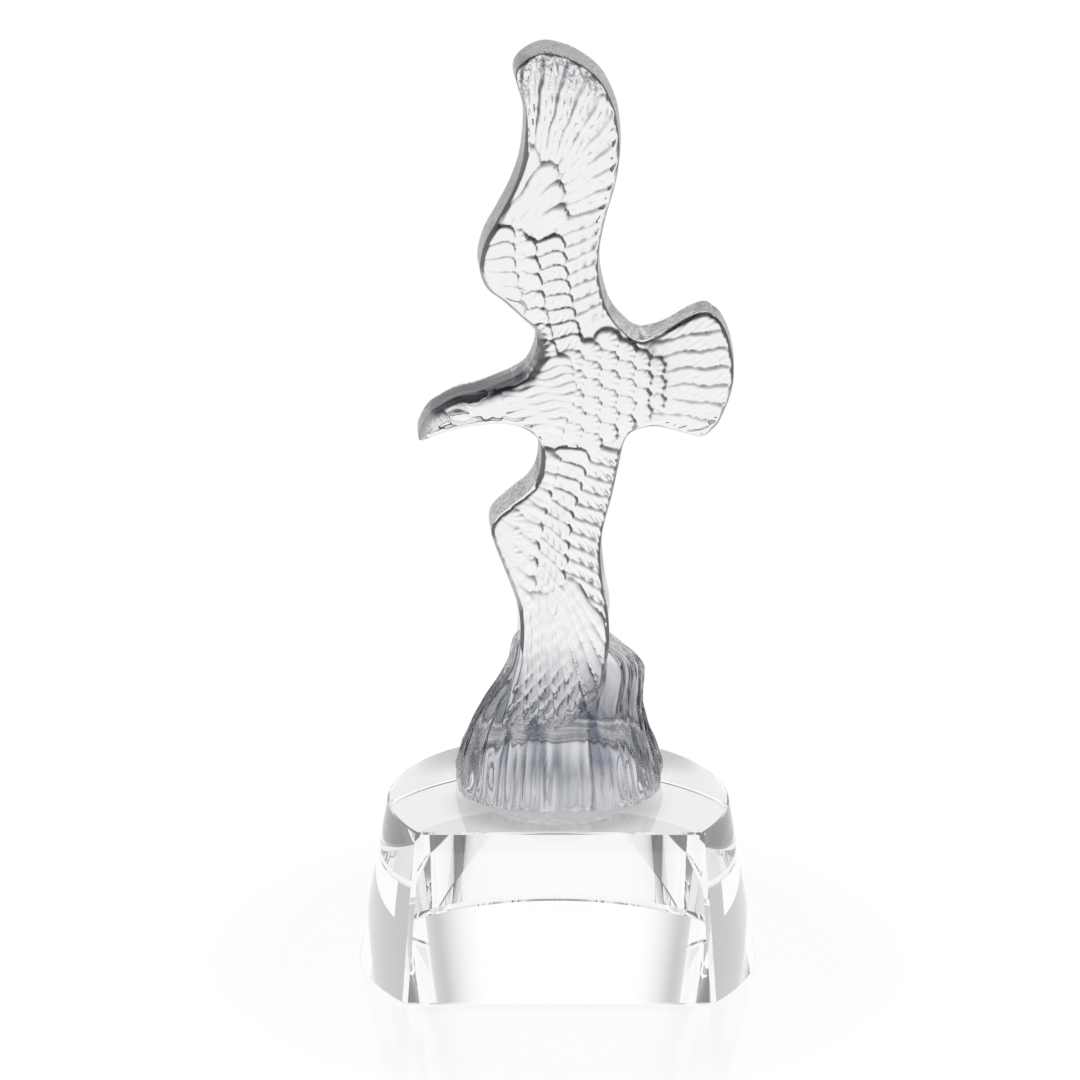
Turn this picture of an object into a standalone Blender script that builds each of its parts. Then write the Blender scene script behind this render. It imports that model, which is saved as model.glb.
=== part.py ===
"""A glass eagle trophy: a pressed crystal eagle on a rocky foot, standing on a cut crystal base block.

Metres, +Z up. The origin is on the floor under the middle of the base block's round, and the front is -Y.
The eagle is a slab cast in a mould that opens along Y: its front carries the feathers, its back is flat, and
its walls lean outward to the back by the mould's draft. Its outline, feathers and rock are drawn in
thousandths of the eagle's height, x to the right and z up from the top of the base block.
"""
import math
from collections import namedtuple

import bmesh
import bpy
import numpy as np

OBJECT_NAME = "glass_eagle_trophy"

# The base block: a cone's stump with a sloping face cut on its front
BASE_HEIGHT = 0.056
BASE_TOP_RADIUS = 0.056
BASE_BOTTOM_RADIUS = 0.066
FRONT_FACE_TOP = 0.032
FRONT_FACE_BOTTOM = 0.043
TOP_CHAMFER = 0.0005
BOTTOM_CHAMFER = 0.0012
BASE_SEGMENTS = 96

# The eagle casting
EAGLE_HEIGHT = 0.249
SLAB_THICKNESS = 0.017
TAIL_SETBACK = 0.005
RELIEF_DEPTH = 0.0015
DRAFT_ANGLE = math.radians(3.3)
HEAD_ROUND = 0.0045
TIP_ROUND = 0.0030
EDGE_ROUND = 0.0010
SEAT_GAP = 0.0003
RELIEF_PITCH = 0.00178
OUTLINE_STEPS = 2
ROCK_SEGMENTS = 88
ROCK_LEVELS = 11
FLUTE_DEPTH = 0.0019

GLASS_IOR = 1.52
GLASS_ROUGHNESS = 0.02
EAGLE_TINT = (0.96, 0.97, 0.98, 1.0)
BASE_TINT = (0.98, 0.98, 0.99, 1.0)

# The slab's front edge, in thousandths of the eagle's height, clockwise from the beak's tip
HEAD_TOP = [(-181, 484), (-177, 500), (-167, 516), (-153, 526), (-133, 537), (-106, 544), (-80, 554),
            (-58, 564), (-40, 578), (-29, 604), (-31, 627)]
UPPER_WING_LEADING = [(-48, 647), (-72, 671), (-94, 689), (-103, 715), (-96, 749), (-78, 783), (-60, 819),
                      (-49, 855), (-45, 896), (-47, 924), (-58, 964)]
WING_TIP = [(-46, 984), (-22, 994), (6, 988), (28, 976), (48, 958), (62, 932)]
UPPER_WING_TRAILING = [(70, 904), (73, 863), (68, 825), (57, 785), (49, 745), (47, 715), (51, 687),
                       (60, 658), (76, 636)]
TAIL = [(100, 619), (133, 625), (168, 645), (186, 651), (195, 646), (204, 638), (215, 615), (222, 580),
        (220, 546), (206, 508), (198, 497), (188, 488), (180, 486), (154, 493), (121, 501), (96, 498)]
LOWER_WING_TRAILING = [(83, 484), (75, 448), (67, 409), (57, 369), (53, 335), (56, 293), (63, 255),
                       (66, 212), (62, 176)]
LIP = [(53, 131), (35, 107), (5, 89), (-31, 78), (-64, 84), (-74, 91)]
LOWER_WING_LEADING = [(-68, 116), (-60, 153), (-52, 187), (-50, 221), (-52, 253), (-60, 281), (-72, 313),
                      (-84, 345), (-88, 361), (-83, 378), (-62, 398), (-37, 420), (-25, 446)]
THROAT = [(-26, 482), (-43, 500), (-70, 508), (-108, 506), (-145, 498), (-165, 491)]
OUTLINE = (HEAD_TOP + UPPER_WING_LEADING + WING_TIP + UPPER_WING_TRAILING + TAIL + LOWER_WING_TRAILING
           + LIP + LOWER_WING_LEADING + THROAT)

# Rows of like feathers. Each row is spread between a guide for its roots and one for its tips, in thousandths
# of the eagle's height. Its level is how high it lies, and its lean how far one side of a feather stands
# over the other, both in shares of RELIEF_DEPTH.
FeatherRow = namedtuple("FeatherRow", "roots tips count width level lean")
FEATHER_ROWS = {
    "upper_primaries": FeatherRow(
        [(-42, 872), (-21, 876), (-2, 859), (6, 820), (6, 794)],
        [(-48, 990), (-21, 985), (10, 970), (38, 947), (58, 911), (71, 865), (70, 833), (64, 810)],
        9, 19, 0.0, 0.35),
    "upper_secondaries": FeatherRow(
        [(6, 778), (8, 734), (15, 689), (29, 643)],
        [(60, 798), (49, 744), (51, 699), (68, 652)],
        9, 21, 0.0, 0.45),
    "lower_secondaries": FeatherRow(
        [(41, 478), (33, 432), (16, 387), (11, 342), (9, 294), (8, 270)],
        [(76, 472), (70, 426), (59, 380), (53, 335), (59, 270), (61, 236)],
        11, 21, 0.0, -0.45),
    "lower_primaries": FeatherRow(
        [(9, 272), (5, 249), (-3, 231), (-16, 226), (-31, 223), (-47, 215)],
        [(67, 196), (54, 131), (41, 111), (26, 96), (6, 82), (-18, 75), (-41, 72), (-66, 86)],
        9, 20, 0.0, 0.35),
    "upper_outer_coverts": FeatherRow(
        [(-30, 737), (-24, 688), (-10, 643), (-2, 609)],
        [(2, 755), (6, 706), (17, 661), (29, 621)],
        7, 24, 0.35, 0.35),
    "upper_middle_coverts": FeatherRow(
        [(-62, 744), (-58, 705), (-48, 668), (-28, 604)],
        [(-34, 759), (-24, 705), (-15, 657), (-3, 613)],
        7, 25, 0.6, 0.3),
    "upper_inner_coverts": FeatherRow(
        [(-90, 742), (-88, 705), (-74, 672)],
        [(-62, 765), (-50, 713), (-41, 669)],
        5, 25, 0.8, 0.25),
    "lower_outer_coverts": FeatherRow(
        [(10, 482), (-2, 432), (-18, 385), (-28, 330), (-44, 262)],
        [(39, 468), (26, 421), (14, 373), (7, 316), (-9, 237)],
        10, 24, 0.35, -0.35),
    "lower_inner_coverts": FeatherRow(
        [(-22, 470), (-36, 420), (-58, 372), (-70, 330)],
        [(4, 459), (-10, 410), (-24, 360), (-30, 300)],
        7, 26, 0.6, -0.3),
    "tail_feathers": FeatherRow(
        [(102, 619), (118, 599), (131, 581), (136, 561), (131, 540), (119, 526), (111, 514)],
        [(195, 640), (214, 614), (222, 590), (224, 564), (219, 541), (211, 520), (188, 495)],
        7, 22, -0.2, 0.45),
    "neck_hackles": FeatherRow(
        [(-81, 566), (-85, 540), (-77, 508)],
        [(15, 593), (25, 551), (0, 502)],
        7, 16, 0.9, 0.3),
}
# Big rounded coverts at the bend of the upper wing: root, tip and width
HAND_COVERTS = [((-40, 775), (4, 788), 26), ((-58, 776), (-4, 820), 26), ((-66, 782), (-12, 846), 28),
                ((-68, 800), (-42, 868), 34)]
HAND_LEVEL = 0.7
# Scales of the body, each pointing to the tail: the middle of the rounded end and its radius
BODY_SCALES = [(23, 593, 14), (48, 607, 13), (71, 617, 12), (99, 589, 19), (118, 568, 13), (71, 569, 19),
               (53, 572, 13), (36, 553, 15), (100, 547, 20), (15, 540, 16), (56, 534, 15), (80, 529, 15),
               (31, 508, 16), (59, 502, 14), (85, 505, 14), (103, 518, 14)]
SCALE_LENGTH = 1.6
SCALE_DROOP = 0.25
SCALE_LEVEL = 0.9
SCALE_LEAN = 0.2
# A feather's corner and shoulder in shares of its width, and its heights in shares of RELIEF_DEPTH
FEATHER_CORNER = 0.45
FEATHER_SHOULDER = 0.16
FEATHER_RISE = 0.45
FEATHER_CROWN = 0.4
FEATHER_FALL = 5.0
GROUND_LEVEL = -0.35
# The body swells forward, and the tail steps back from it along an arc
SWELL_AT = (40, 550)
SWELL_REACH = 90
SWELL_RISE = 0.9
TAIL_ARC_AT = (30, 562)
TAIL_ARC_RADIUS = 76
TAIL_ARC_STEP = 26
TAIL_STARTS = 72
EYE_AT = (-129, 520)
EYE_LENGTH = 16
EYE_HEIGHT = 6

# The rock: height, left edge, right edge and half its depth, in thousandths of the eagle's height
ROCK_PROFILE = [(0, -134, 135, 108), (14, -134, 135, 103), (44, -129, 128, 72), (76, -118, 118, 34),
                (112, -101, 111, 27), (153, -76, 112, 25), (176, -66, 106, 24), (205, -59, 74, 22),
                (224, -44, 52, 16)]
ROCK_SQUARENESS = 2.4
# The rock's flutes: waves round it, their share, bends round it, how far they bend, and drift up the rock
FLUTES = [(13, 0.6, 3, 1.6, 2.5), (21, 0.4, 2, 2.1, -3.0)]

CUTTER_REACH = 0.02
BLOCK_MARGIN = 0.003
ROCK_CROWDING = 1.15
EAGLE_Y = (BASE_TOP_RADIUS - FRONT_FACE_TOP) / 2
EAGLE_Z = BASE_HEIGHT + SEAT_GAP


def share(value):
    """A length drawn in thousandths of the eagle's height, in metres."""
    return value * EAGLE_HEIGHT / 1000


def clear_scene():
    for thing in list(bpy.data.objects):
        bpy.data.objects.remove(thing, do_unlink=True)


def new_collection(name):
    collection = bpy.data.collections.new(name)
    bpy.context.scene.collection.children.link(collection)
    return collection


def glass(name, tint):
    """Clear crystal."""
    material = bpy.data.materials.new(name)
    material.use_nodes = True
    shader = material.node_tree.nodes["Principled BSDF"]
    shader.inputs["Base Color"].default_value = tint
    shader.inputs["Roughness"].default_value = GLASS_ROUGHNESS
    shader.inputs["Metallic"].default_value = 0.0
    shader.inputs["IOR"].default_value = GLASS_IOR
    shader.inputs["Transmission Weight"].default_value = 1.0
    return material


def add_object(name, bm, collection, material, location):
    """Turns a bmesh into an object with its faces pointing out."""
    bmesh.ops.recalc_face_normals(bm, faces=bm.faces)
    mesh = bpy.data.meshes.new(name)
    bm.to_mesh(mesh)
    bm.free()
    mesh.materials.append(material)
    thing = bpy.data.objects.new(name, mesh)
    thing.location = location
    collection.objects.link(thing)
    return thing


def as_cutter(thing):
    thing.hide_render = True
    thing.display_type = "WIRE"
    return thing


def boolean(target, operation, other):
    modifier = target.modifiers.new(f"{operation.lower()}_{other.name}", "BOOLEAN")
    modifier.operation = operation
    modifier.solver = "EXACT"
    modifier.object = other


def loft(bm, rings):
    """Skins rings of as many points each and closes both ends."""
    loops = [[bm.verts.new(point) for point in ring] for ring in rings]
    for low, high in zip(loops, loops[1:]):
        for i, vert in enumerate(low):
            j = (i + 1) % len(low)
            bm.faces.new((vert, low[j], high[j], high[i]))
    bm.faces.new(loops[0])
    bm.faces.new(loops[-1])


def curve_through(points, steps, closed):
    """A smooth curve through hand-set points, with so many steps from each to the next."""
    points = np.asarray(points, float)
    count = len(points)
    result = []
    for i in range(count if closed else count - 1):
        at = [(i + k) % count if closed else min(max(i + k, 0), count - 1) for k in (-1, 0, 1, 2)]
        before, start, end, after = points[at]
        for step in range(steps):
            t = step / steps
            result.append(0.5 * (2 * start + (end - before) * t
                                 + (2 * before - 5 * start + 4 * end - after) * t ** 2
                                 + (3 * start - 3 * end + after - before) * t ** 3))
    if not closed:
        result.append(points[-1])
    return np.array(result)


def along(points, fraction):
    """The place at a fraction of the way along a line of points."""
    points = np.asarray(points, float)
    runs = np.r_[0, np.cumsum(np.hypot(*np.diff(points, axis=0).T))]
    return np.array([np.interp(fraction * runs[-1], runs, points[:, axis]) for axis in (0, 1)])


def distance_to(x, z, line):
    """How far each place is from a line of points."""
    nearest = np.full(np.shape(x), np.inf)
    for (ax, az), (bx, bz) in zip(line, line[1:]):
        dx, dz = bx - ax, bz - az
        t = np.clip(((x - ax) * dx + (z - az) * dz) / (dx * dx + dz * dz), 0, 1)
        nearest = np.minimum(nearest, np.hypot(x - ax - t * dx, z - az - t * dz))
    return nearest


def round_drop(distance, radius):
    """How far a rounded edge has fallen at a distance inside the outline."""
    short = np.clip(radius - distance, 0, radius)
    return radius - np.sqrt(radius ** 2 - short ** 2)


def feather(x, z, root, tip, width, level, lean):
    """The height of one feather: it rises to its rounded tip, is crowned across and falls off at its edge."""
    root, tip = np.asarray(root, float), np.asarray(tip, float)
    length = np.hypot(*(tip - root))
    ux, uz = (tip - root) / length
    s = (x - root[0]) * ux + (z - root[1]) * uz
    t = (z - root[1]) * ux - (x - root[0]) * uz
    corner = width * FEATHER_CORNER
    over_s = np.abs(s - length / 2) - (length / 2 - corner)
    over_t = np.abs(t) - (width / 2 - corner)
    outside = np.hypot(np.maximum(over_s, 0), np.maximum(over_t, 0)) - corner
    outside += np.minimum(np.maximum(over_s, over_t), 0)
    rise = np.clip(s / length, 0, 1)
    crown = 1 - (np.clip(t / (width / 2), -1, 1)) ** 2
    top = level + FEATHER_RISE * rise + FEATHER_CROWN * crown + lean * np.clip(t / width, -0.5, 0.5)
    return top - FEATHER_FALL * np.clip(outside / width + FEATHER_SHOULDER, 0, 1)


def relief(x, z):
    """The height of the carving over the slab's front plane, in shares of RELIEF_DEPTH."""
    height = np.full(np.shape(x), GROUND_LEVEL)
    for row in FEATHER_ROWS.values():
        for i in range(row.count):
            root, tip = (along(guide, (i + 0.5) / row.count) for guide in (row.roots, row.tips))
            height = np.maximum(height, feather(x, z, root, tip, row.width, row.level, row.lean))
    for root, tip, width in HAND_COVERTS:
        height = np.maximum(height, feather(x, z, root, tip, width, HAND_LEVEL, SCALE_LEAN))
    for sx, sz, radius in BODY_SCALES:
        root = (sx - SCALE_LENGTH * radius, sz + SCALE_DROOP * radius)
        tip = (sx + radius, sz)
        height = np.maximum(height, feather(x, z, root, tip, 2 * radius, SCALE_LEVEL, SCALE_LEAN))
    swell = np.hypot(x - SWELL_AT[0], z - SWELL_AT[1]) / SWELL_REACH
    return height + SWELL_RISE * np.exp(-swell ** 2)


def smooth_step(value):
    held = np.clip(value, 0, 1)
    return held * held * (3 - 2 * held)


def slab_front(x, z):
    """Where the slab's front lies along Y, for places in thousandths of the eagle's height."""
    front = -SLAB_THICKNESS / 2 - RELIEF_DEPTH * relief(x, z)
    past_body = (np.hypot(x - TAIL_ARC_AT[0], z - TAIL_ARC_AT[1]) - TAIL_ARC_RADIUS) / TAIL_ARC_STEP
    front += TAIL_SETBACK * smooth_step(past_body) * smooth_step((x - TAIL_STARTS) / TAIL_ARC_STEP)
    outline = list(curve_through(OUTLINE, OUTLINE_STEPS, True))
    rounded = np.zeros(np.shape(x))
    for line, radius in ((HEAD_TOP, HEAD_ROUND), (WING_TIP, TIP_ROUND), (outline + outline[:1], EDGE_ROUND)):
        rounded = np.maximum(rounded, round_drop(share(distance_to(x, z, line)), radius))
    return front + rounded


def relief_block(collection, material):
    """A block whose front is the carved relief and whose back stands behind the slab."""
    edge = share(curve_through(OUTLINE, OUTLINE_STEPS, True))
    low_x, low_z = edge.min(axis=0) - BLOCK_MARGIN
    high_x, high_z = edge.max(axis=0) + BLOCK_MARGIN
    columns = round((high_x - low_x) / RELIEF_PITCH)
    rows = round((high_z - low_z) / RELIEF_PITCH)
    bm = bmesh.new()
    bmesh.ops.create_grid(bm, x_segments=columns, y_segments=rows, size=0.5)
    flat = np.array([vert.co[:2] for vert in bm.verts])
    x = low_x + (flat[:, 0] + 0.5) * (high_x - low_x)
    z = low_z + (flat[:, 1] + 0.5) * (high_z - low_z)
    front = slab_front(x * 1000 / EAGLE_HEIGHT, z * 1000 / EAGLE_HEIGHT)
    for vert, place in zip(bm.verts, zip(x, front, z)):
        vert.co = place
    grown = bmesh.ops.extrude_face_region(bm, geom=list(bm.faces))
    for part in grown["geom"]:
        if isinstance(part, bmesh.types.BMVert):
            part.co.y = SLAB_THICKNESS / 2 + BLOCK_MARGIN
    return as_cutter(add_object("relief_block", bm, collection, material, (0, EAGLE_Y, EAGLE_Z)))


def outline_ring(y):
    """The slab's outline in the plane at y, grown to the back by the mould's draft."""
    points = share(curve_through(OUTLINE, OUTLINE_STEPS, True))
    ahead = np.roll(points, -1, axis=0) - np.roll(points, 1, axis=0)
    outward = np.stack((-ahead[:, 1], ahead[:, 0]), axis=1) / np.hypot(*ahead.T)[:, None]
    grown = points + outward * (y + SLAB_THICKNESS / 2) * math.tan(DRAFT_ANGLE)
    return [(x, y, z) for x, z in grown]


def rock_section(height, half_depth, left, right):
    """One level ring of the rock: a square-shouldered oval with flutes that fade towards the top."""
    up = height / ROCK_PROFILE[-1][0]
    strength = FLUTE_DEPTH * min(1, 0.25 + 8 * up) * (1 - 0.75 * up ** 2)
    ring = []
    for i in range(ROCK_SEGMENTS):
        angle = 2 * math.pi * i / ROCK_SEGMENTS
        c, s = math.cos(angle), math.sin(angle)
        flute = strength * sum(weight * math.sin(waves * angle + bend * math.sin(bends * angle) + drift * up)
                               for waves, weight, bends, bend, drift in FLUTES)
        x = (left + right) / 2 + (right - left) / 2 * math.copysign(abs(c) ** (2 / ROCK_SQUARENESS), c)
        y = half_depth * math.copysign(abs(s) ** (2 / ROCK_SQUARENESS), s)
        ring.append((x + flute * c, y + flute * s, share(height)))
    return ring


def rock_foot(collection, material):
    """The fluted rock, skinned through level sections that narrow to stand inside the slab."""
    profile = curve_through(ROCK_PROFILE, 6, False)
    rings = []
    for step in range(ROCK_LEVELS):
        height = (step / (ROCK_LEVELS - 1)) ** ROCK_CROWDING * ROCK_PROFILE[-1][0]
        left, right, depth = (share(np.interp(height, profile[:, 0], profile[:, k])) for k in (1, 2, 3))
        rings.append(rock_section(height, depth, left, right))
    bm = bmesh.new()
    loft(bm, rings)
    return as_cutter(add_object("rock_foot", bm, collection, material, (0, EAGLE_Y, EAGLE_Z)))


def eye(collection, material):
    """A low almond that stands out of the side of the head."""
    x, z = share(EYE_AT[0]), share(EYE_AT[1])
    length, height = share(EYE_LENGTH), share(EYE_HEIGHT)
    bm = bmesh.new()
    bmesh.ops.create_uvsphere(bm, u_segments=14, v_segments=8, radius=0.5)
    for vert in bm.verts:
        vert.co = (x + vert.co.x * length, -SLAB_THICKNESS / 2 + vert.co.y * height, z + vert.co.z * height)
    return as_cutter(add_object("eye", bm, collection, material, (0, EAGLE_Y, EAGLE_Z)))


def eagle_casting(parts, cutters):
    material = glass("pressed_crystal", EAGLE_TINT)
    bm = bmesh.new()
    loft(bm, [outline_ring(-SLAB_THICKNESS / 2 - 4 * RELIEF_DEPTH), outline_ring(SLAB_THICKNESS / 2)])
    casting = add_object("eagle_casting", bm, parts, material, (0, EAGLE_Y, EAGLE_Z))
    boolean(casting, "INTERSECT", relief_block(cutters, material))
    boolean(casting, "UNION", rock_foot(cutters, material))
    boolean(casting, "UNION", eye(cutters, material))
    return casting


def front_cutter(collection, material):
    """A bar ahead of the base block whose rear side is the sloping front face with both its chamfers."""
    lean = (FRONT_FACE_BOTTOM - FRONT_FACE_TOP) / (BASE_HEIGHT - BOTTOM_CHAMFER)
    profile = [(-FRONT_FACE_TOP + TOP_CHAMFER + CUTTER_REACH, BASE_HEIGHT + CUTTER_REACH),
               (-FRONT_FACE_TOP + TOP_CHAMFER, BASE_HEIGHT),
               (-FRONT_FACE_TOP - lean * TOP_CHAMFER, BASE_HEIGHT - TOP_CHAMFER),
               (-FRONT_FACE_BOTTOM, BOTTOM_CHAMFER),
               (-FRONT_FACE_BOTTOM + BOTTOM_CHAMFER, 0),
               (-FRONT_FACE_BOTTOM + BOTTOM_CHAMFER + CUTTER_REACH, -CUTTER_REACH),
               (-BASE_BOTTOM_RADIUS - CUTTER_REACH, -CUTTER_REACH),
               (-BASE_BOTTOM_RADIUS - CUTTER_REACH, BASE_HEIGHT + CUTTER_REACH)]
    bm = bmesh.new()
    half_width = BASE_BOTTOM_RADIUS + CUTTER_REACH
    loft(bm, [[(x, y, z) for y, z in profile] for x in (-half_width, half_width)])
    return as_cutter(add_object("front_cutter", bm, collection, material, (0, 0, 0)))


def crystal_base(parts, cutters):
    """The block: a turned profile with chamfered rims, cut on its front."""
    material = glass("cut_crystal", BASE_TINT)
    lean = (BASE_BOTTOM_RADIUS - BASE_TOP_RADIUS) / (BASE_HEIGHT - BOTTOM_CHAMFER)
    profile = [(0, BASE_HEIGHT), (BASE_TOP_RADIUS - TOP_CHAMFER, BASE_HEIGHT),
               (BASE_TOP_RADIUS + lean * TOP_CHAMFER, BASE_HEIGHT - TOP_CHAMFER),
               (BASE_BOTTOM_RADIUS, BOTTOM_CHAMFER), (BASE_BOTTOM_RADIUS - BOTTOM_CHAMFER, 0), (0, 0)]
    mesh = bpy.data.meshes.new("crystal_base")
    mesh.from_pydata([(x, 0, z) for x, z in profile], [(i, i + 1) for i in range(len(profile) - 1)], [])
    mesh.materials.append(material)
    base = bpy.data.objects.new("crystal_base", mesh)
    parts.objects.link(base)
    turn = base.modifiers.new("turn", "SCREW")
    turn.steps = BASE_SEGMENTS
    turn.render_steps = BASE_SEGMENTS
    turn.use_merge_vertices = True
    turn.merge_threshold = 0.00001
    turn.use_smooth_shade = False
    boolean(base, "DIFFERENCE", front_cutter(cutters, material))
    return base


def build():
    clear_scene()
    parts = new_collection(OBJECT_NAME)
    cutters = new_collection(f"{OBJECT_NAME}_cutters")
    crystal_base(parts, cutters)
    eagle_casting(parts, cutters)


build()
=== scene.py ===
# %% [markdown]
# # A glass eagle trophy
# The real thing is two pieces of clear lead crystal. The eagle and the rock under it are pressed together
# in one iron mould, so they are one casting. The block below is sawn, ground and polished. Both are
# see-through, so nearly all of what the eye reads is light bent by the shape of the front, the walls and
# the back. That is why this lesson puts its effort in meshes and in the light around them, and keeps the
# glass itself plain.
#
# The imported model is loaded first. It fixes every size and place, and all that follows is built round it.
# %% Load the frame
import math
from collections import namedtuple

import bmesh
import bpy
import numpy as np
from mathutils import Matrix, Vector
from mathutils.geometry import delaunay_2d_cdt


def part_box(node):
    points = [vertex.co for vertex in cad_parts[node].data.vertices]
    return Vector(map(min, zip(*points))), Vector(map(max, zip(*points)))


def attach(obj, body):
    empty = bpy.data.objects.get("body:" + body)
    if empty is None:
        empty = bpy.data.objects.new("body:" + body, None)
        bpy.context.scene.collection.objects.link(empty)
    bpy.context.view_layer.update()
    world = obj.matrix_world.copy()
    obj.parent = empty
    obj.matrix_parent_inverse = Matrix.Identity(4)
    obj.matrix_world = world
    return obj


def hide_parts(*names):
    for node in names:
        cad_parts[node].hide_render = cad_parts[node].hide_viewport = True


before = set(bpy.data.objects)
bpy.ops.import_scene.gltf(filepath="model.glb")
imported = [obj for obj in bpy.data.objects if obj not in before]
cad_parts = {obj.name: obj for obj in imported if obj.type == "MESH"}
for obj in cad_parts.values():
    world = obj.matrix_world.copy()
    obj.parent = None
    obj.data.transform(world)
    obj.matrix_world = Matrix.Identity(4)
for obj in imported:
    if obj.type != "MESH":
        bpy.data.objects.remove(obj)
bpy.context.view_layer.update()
print("nodes:", sorted(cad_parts))

# %% [markdown]
# ## The sizes
# A maker works from a few gauges: how high the eagle is, how thick the slab of glass is, how far the
# mould's walls lean so that the casting lets go, and how much the polisher rounds each edge. Everything
# drawn on the eagle is in thousandths of its height, as on a pattern maker's sheet, so one number scales
# all of it.
# %% Sizes of the casting and the block
EAGLE_HEIGHT = 0.249
SLAB_THICKNESS = 0.017
TAIL_SETBACK = 0.005
RELIEF_DEPTH = 0.0015
DRAFT_ANGLE = math.radians(3.3)
HEAD_ROUND = 0.0045
TIP_ROUND = 0.0012
EDGE_ROUND = 0.0010
LIP_ROUND = 0.0018
BACK_ROUND = 0.0007
BASE_TOP_RADIUS = 0.056
BASE_BOTTOM_RADIUS = 0.066
FRONT_FACE_TOP = 0.032
FRONT_FACE_BOTTOM = 0.043
TOP_CHAMFER = 0.0005
BOTTOM_CHAMFER = 0.0012
CORNER_CHAMFER = 0.0009

BASE_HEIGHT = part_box("crystal_base")[1].z
EAGLE_Y = (BASE_TOP_RADIUS - FRONT_FACE_TOP) / 2
EAGLE_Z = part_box("eagle_casting")[0].z
print("block height and casting's start in mm:", round(1000 * BASE_HEIGHT, 2), round(1000 * EAGLE_Z, 2))


def share(value):
    """A length drawn in thousandths of the eagle's height, in metres."""
    return value * EAGLE_HEIGHT / 1000


# %% [markdown]
# ## The outline
# Seen from the front the eagle is a flat shape: head to the left, one wing up, one wing down and the tail
# to the right. It could be traced with hundreds of points, but a curve that runs smoothly through a few
# chosen ones is easier to read and to change. Each stretch has its name, because the head and the wing's
# tip are rounded more than the rest.
# %% The outline's stretches
HEAD_TOP = [(-181, 484), (-177, 500), (-167, 516), (-153, 526), (-133, 537), (-106, 544), (-80, 554),
            (-58, 564), (-40, 578), (-29, 604), (-31, 627)]
UPPER_WING_LEADING = [(-48, 647), (-72, 671), (-94, 689), (-103, 715), (-96, 749), (-78, 783), (-60, 819),
                      (-49, 855), (-45, 896), (-47, 924), (-58, 964)]
WING_TIP = [(-46, 984), (-22, 994), (6, 988), (28, 976), (48, 958), (62, 932)]
UPPER_WING_TRAILING = [(70, 904), (73, 863), (68, 825), (57, 785), (49, 745), (47, 715), (51, 687),
                       (60, 658), (76, 636)]
TAIL = [(100, 619), (133, 625), (168, 645), (186, 651), (195, 646), (204, 638), (215, 615), (222, 580),
        (220, 546), (206, 508), (198, 497), (188, 488), (180, 486), (154, 493), (121, 501), (96, 498)]
LOWER_WING_TRAILING = [(83, 484), (75, 448), (67, 409), (57, 369), (53, 335), (56, 293), (63, 255),
                       (66, 212), (62, 176)]
LIP = [(53, 131), (35, 107), (5, 89), (-31, 78), (-64, 84), (-74, 91)]
LOWER_WING_LEADING = [(-68, 116), (-60, 153), (-52, 187), (-50, 221), (-52, 253), (-60, 281), (-72, 313),
                      (-84, 345), (-88, 361), (-83, 378), (-62, 398), (-37, 420), (-25, 446)]
THROAT = [(-26, 482), (-43, 500), (-70, 508), (-108, 506), (-145, 498), (-165, 491)]
OUTLINE = (HEAD_TOP + UPPER_WING_LEADING + WING_TIP + UPPER_WING_TRAILING + TAIL + LOWER_WING_TRAILING
           + LIP + LOWER_WING_LEADING + THROAT)


def curve_through(points, steps, closed):
    """A smooth curve through given points, with so many steps from each to the next."""
    points = np.asarray(points, float)
    count = len(points)
    result = []
    for i in range(count if closed else count - 1):
        at = [(i + k) % count if closed else min(max(i + k, 0), count - 1) for k in (-1, 0, 1, 2)]
        before, start, end, after = points[at]
        for step in range(steps):
            t = step / steps
            result.append(0.5 * (2 * start + (end - before) * t
                                 + (2 * before - 5 * start + 4 * end - after) * t ** 2
                                 + (3 * start - 3 * end + after - before) * t ** 3))
    if not closed:
        result.append(points[-1])
    return np.array(result)


OUTLINE_STEPS = 12
edge = curve_through(OUTLINE, OUTLINE_STEPS, True)
ahead = np.roll(edge, -1, axis=0) - np.roll(edge, 1, axis=0)
outward = np.stack((-ahead[:, 1], ahead[:, 0]), axis=1) / np.hypot(*ahead.T)[:, None]
print(len(OUTLINE), "chosen points make an outline of", len(edge))

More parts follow.
